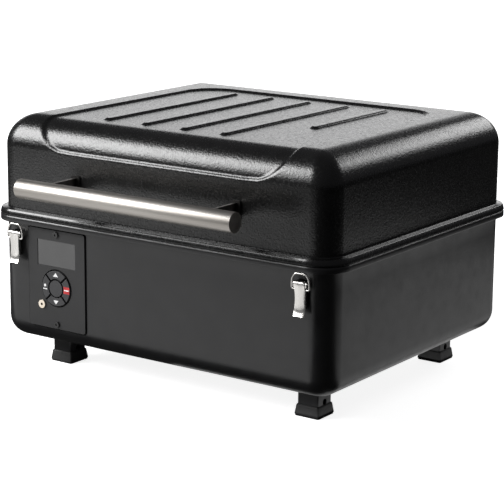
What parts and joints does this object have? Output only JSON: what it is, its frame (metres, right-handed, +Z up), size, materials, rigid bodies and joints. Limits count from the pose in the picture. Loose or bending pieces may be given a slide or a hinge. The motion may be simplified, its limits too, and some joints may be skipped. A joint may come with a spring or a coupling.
{
  "type": "pellet smoker grill",
  "caption": "Table-top pellet smoker grill: a drawn steel tub on short legs under a hinged lid with a bar handle, side latches and a control panel.",
  "frame": {"origin": "centre of the bounding box on the ground plane the feet stand on", "axes": "+X to the right seen from the front, +Y to the back, +Z up; the handle and control panel face -Y"},
  "size_m": [0.534, 0.523, 0.335],
  "materials": {
    "tub_coat": "satin black powder coat, finely textured",
    "lid_coat": "semi-gloss black powder coat with a pebbled grain",
    "stainless_handle": "brushed along its length",
    "stainless_bright": "bright polished stainless steel",
    "black_steel": "satin black paint",
    "galvanised": "plain zinc-coated sheet",
    "dark_steel": "heat-resistant grey-black coating",
    "porcelain_iron": "porcelain-enamelled, low gloss",
    "panel_plastic": "fine matte texture",
    "inner_plastic": "plain moulded",
    "key_plastic": "matte",
    "window_clear": "clear smoked plastic",
    "lcd": "grey-green display glass",
    "board": "green circuit board",
    "rubber": "matte black",
    "jack_brass": "pale brass",
    "screw_black": "blackened steel",
    "rocker_plastic": "gloss black"
  },
  "bodies": {
    "base": {"tub": "tub_coat", "leg_front_left": "black_steel", "leg_front_right": "black_steel", "leg_rear_left": "black_steel", "leg_rear_right": "black_steel", "foot_front_left": "rubber", "foot_front_right": "rubber", "foot_rear_left": "rubber", "foot_rear_right": "rubber", "control_panel": "panel_plastic", "panel_screws": "screw_black", "display_window": "window_clear", "display_module": "lcd", "controller_board": "board", "controller_housing": "inner_plastic", "keypad_base": "inner_plastic", "probe_jack": "jack_brass", "latch_plate_left": "stainless_bright", "latch_plate_right": "stainless_bright", "hinge_tub_leaves": "black_steel", "hinge_pins": "black_steel", "bulkhead": "galvanised", "hopper": "galvanised", "hopper_hinge": "black_steel", "controller_deck": "black_steel", "auger_tube": "galvanised", "auger_motor": "dark_steel", "fire_pot": "dark_steel", "igniter_rod": "stainless_bright", "blower_housing": "galvanised", "blower_motor": "dark_steel", "air_duct": "galvanised", "heat_baffle": "dark_steel", "drip_tray": "dark_steel", "tray_rails": "galvanised", "grease_cup": "galvanised", "grill_grate": "porcelain_iron", "griddle": "porcelain_iron", "temperature_probe": "stainless_bright", "power_inlet": "inner_plastic", "power_switch_frame": "inner_plastic"},
    "lid": {"lid_shell": "lid_coat", "handle_bar": "stainless_handle", "handle_bracket_left": "stainless_handle", "handle_bracket_right": "stainless_handle", "handle_studs": "stainless_handle", "hinge_lid_leaves": "black_steel"},
    "hopper_cover": {"hopper_lid": "black_steel"},
    "auger_screw": {"auger": "dark_steel"},
    "blower_rotor": {"blower_wheel": "inner_plastic"},
    "switch_rocker": {"power_rocker": "rocker_plastic"},
    "latch_arm_left": {"latch_lever_left": "stainless_bright"},
    "latch_wire_left": {"latch_bail_left": "stainless_bright"},
    "latch_arm_right": {"latch_lever_right": "stainless_bright"},
    "latch_wire_right": {"latch_bail_right": "stainless_bright"},
    "key_up_body": {"key_up": "key_plastic"},
    "key_menu_body": {"key_menu": "key_plastic"},
    "key_down_body": {"key_down": "key_plastic"},
    "key_smoke_body": {"key_smoke": "key_plastic"},
    "key_hub_body": {"key_hub": "key_plastic"}
  },
  "joints": [
    {"name": "lid_hinge", "type": "hinge", "parent": "base", "child": "lid", "pos_m": [0, 0.2565, 0.2085], "axis": [-1, 0, 0], "range_deg": [0, 85]},
    {"name": "latch_lever_left_hinge", "type": "hinge", "parent": "base", "child": "latch_arm_left", "pos_m": [-0.222, -0.198, 0.1835], "axis": [-1, 0, 0], "range_deg": [0, 120]},
    {"name": "latch_bail_left_hinge", "type": "hinge", "parent": "latch_arm_left", "child": "latch_wire_left", "pos_m": [-0.222, -0.198, 0.1765], "axis": [-1, 0, 0], "range_deg": [-120, 0]},
    {"name": "latch_lever_right_hinge", "type": "hinge", "parent": "base", "child": "latch_arm_right", "pos_m": [0.222, -0.198, 0.1835], "axis": [-1, 0, 0], "range_deg": [0, 120]},
    {"name": "latch_bail_right_hinge", "type": "hinge", "parent": "latch_arm_right", "child": "latch_wire_right", "pos_m": [0.222, -0.198, 0.1765], "axis": [-1, 0, 0], "range_deg": [-120, 0]},
    {"name": "hopper_cover_hinge", "type": "hinge", "parent": "base", "child": "hopper_cover", "pos_m": [-0.244, 0.02, 0.2024], "axis": [0, -1, 0], "range_deg": [0, 45]},
    {"name": "key_up_press", "type": "slide", "parent": "base", "child": "key_up_body", "axis": [0, 1, 0], "range_m": [0, 0.001], "stiffness_N_per_m": 400},
    {"name": "key_menu_press", "type": "slide", "parent": "base", "child": "key_menu_body", "axis": [0, 1, 0], "range_m": [0, 0.001], "stiffness_N_per_m": 400},
    {"name": "key_down_press", "type": "slide", "parent": "base", "child": "key_down_body", "axis": [0, 1, 0], "range_m": [0, 0.001], "stiffness_N_per_m": 400},
    {"name": "key_smoke_press", "type": "slide", "parent": "base", "child": "key_smoke_body", "axis": [0, 1, 0], "range_m": [0, 0.001], "stiffness_N_per_m": 400},
    {"name": "key_hub_press", "type": "slide", "parent": "base", "child": "key_hub_body", "axis": [0, 1, 0], "range_m": [0, 0.001], "stiffness_N_per_m": 400},
    {"name": "auger_spin", "type": "hinge", "parent": "base", "child": "auger_screw", "pos_m": [-0.1, 0.025, 0.08], "axis": [1, 0, 0], "continuous": true},
    {"name": "blower_spin", "type": "hinge", "parent": "base", "child": "blower_rotor", "pos_m": [-0.15, 0.145, 0.092], "axis": [1, 0, 0], "continuous": true},
    {"name": "power_rocker_tilt", "type": "hinge", "parent": "base", "child": "switch_rocker", "pos_m": [-0.142, 0.236, 0.096], "axis": [1, 0, 0], "range_deg": [-16, 0]}
  ],
  "couplings": [
    {"joint": "latch_bail_left_hinge", "follows": "latch_lever_left_hinge", "ratio": -1},
    {"joint": "latch_bail_right_hinge", "follows": "latch_lever_right_hinge", "ratio": -1}
  ]
}
